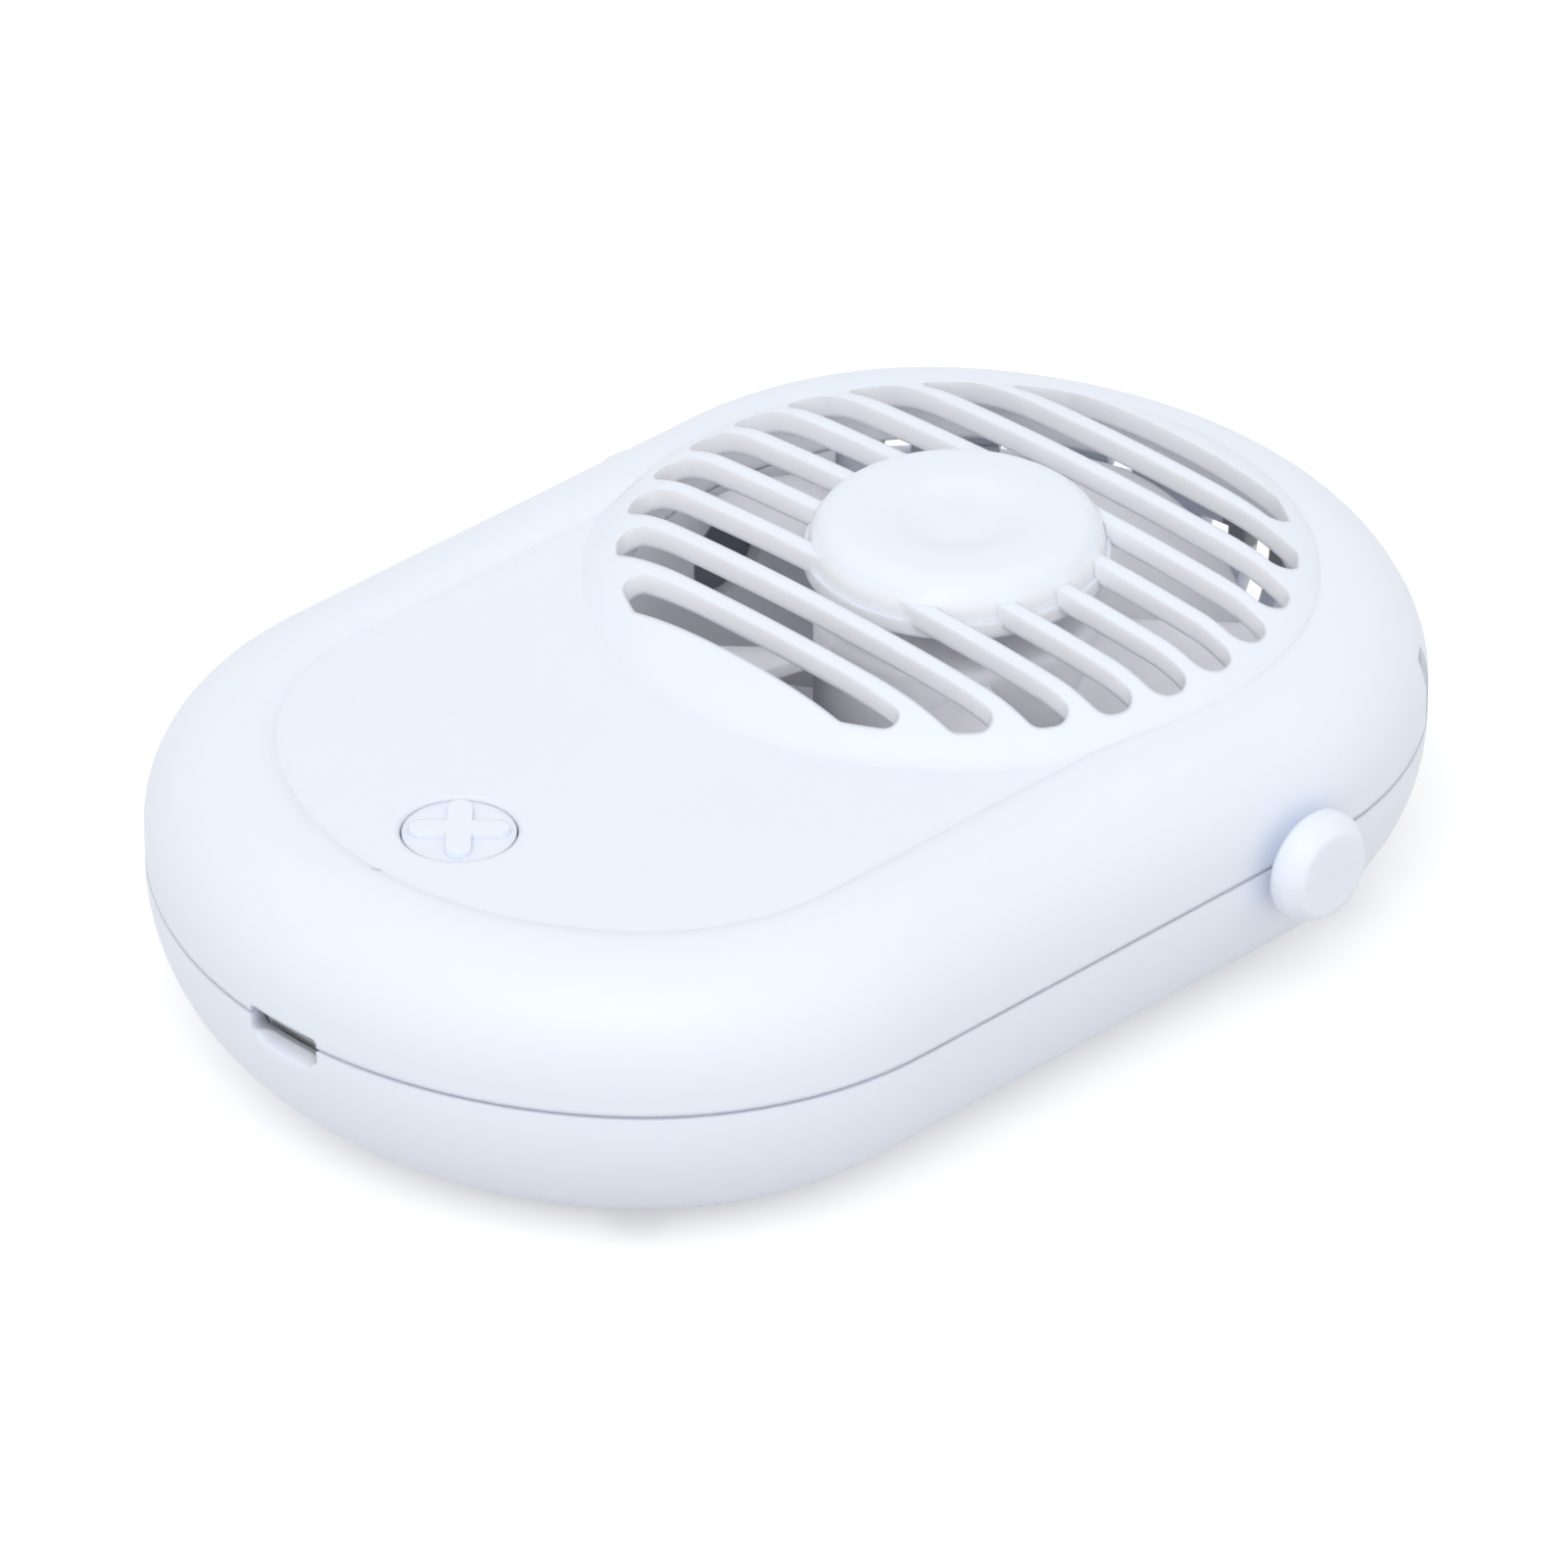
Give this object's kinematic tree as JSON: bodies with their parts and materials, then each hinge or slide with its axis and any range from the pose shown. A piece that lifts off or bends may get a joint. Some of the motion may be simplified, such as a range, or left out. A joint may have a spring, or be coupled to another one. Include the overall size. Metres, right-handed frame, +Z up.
{
  "type": "neck fan",
  "caption": "Pill-shaped hanging neck fan: two-part white shell, domed slat grille round a dimpled boss, side lanyard posts, push button, status light and charging socket.",
  "frame": {"origin": "middle of the rear face on which the fan lies, under the centre of the body's outline", "axes": "+X along the body to the fan end, +Y across it to one lanyard post, +Z up out of the grille"},
  "size_m": [0.119, 0.0886, 0.0334],
  "materials": {
    "shell_white": "satin moulded white",
    "post_white": "satin moulded white",
    "button_white": "satin moulded white",
    "impeller_white": "semi-matt moulded white",
    "switch_black": "matt",
    "plunger_cream": "matt",
    "board_green": "solder mask",
    "chip_black": "matt",
    "light_clear": "clear resin",
    "socket_steel": "plated sheet",
    "tongue_black": "matt",
    "cell_wrap": "shrink-wrapped can",
    "tab_nickel": "nickel strip",
    "pad_foam": "foam",
    "lead_red": "wire jacket",
    "lead_black": "wire jacket",
    "tube_brass": "turned",
    "bush_bronze": "sintered",
    "thrust_plastic": "natural",
    "core_steel": "laminated",
    "winding_copper": "enamelled copper wire",
    "shaft_steel": "ground",
    "yoke_steel": "pressed, zinc-plated",
    "magnet_black": "bonded ferrite",
    "screw_steel": "zinc-plated"
  },
  "bodies": {
    "housing": {"front_shell": "shell_white", "rear_shell": "shell_white", "lanyard_post_left": "post_white", "lanyard_post_right": "post_white", "switch_body": "switch_black", "main_board": "board_green", "board_components": "chip_black", "status_light": "light_clear", "usb_socket": "socket_steel", "usb_tongue": "tongue_black", "battery_cell": "cell_wrap", "battery_tabs": "tab_nickel", "cell_pads": "pad_foam", "battery_leads": "lead_red", "motor_leads": "lead_black", "bearing_tube": "tube_brass", "bearing_bush": "bush_bronze", "thrust_pad": "thrust_plastic", "motor_board": "board_green", "stator_core": "core_steel", "stator_coils": "winding_copper", "case_screws": "screw_steel"},
    "rotor": {"impeller": "impeller_white", "motor_shaft": "shaft_steel", "rotor_yoke": "yoke_steel", "ring_magnet": "magnet_black", "shaft_clip": "shaft_steel"},
    "button": {"power_button": "button_white", "switch_plunger": "plunger_cream"}
  },
  "joints": [
    {"name": "impeller_spin", "type": "hinge", "parent": "housing", "child": "rotor", "pos_m": [0.02, 0, 0.012], "axis": [0, 0, 1], "continuous": true},
    {"name": "button_press", "type": "slide", "parent": "housing", "child": "button", "axis": [0, 0, -1], "range_m": [0, 0.0004], "stiffness_N_per_m": 2500, "springref_m": -0.0003}
  ]
}
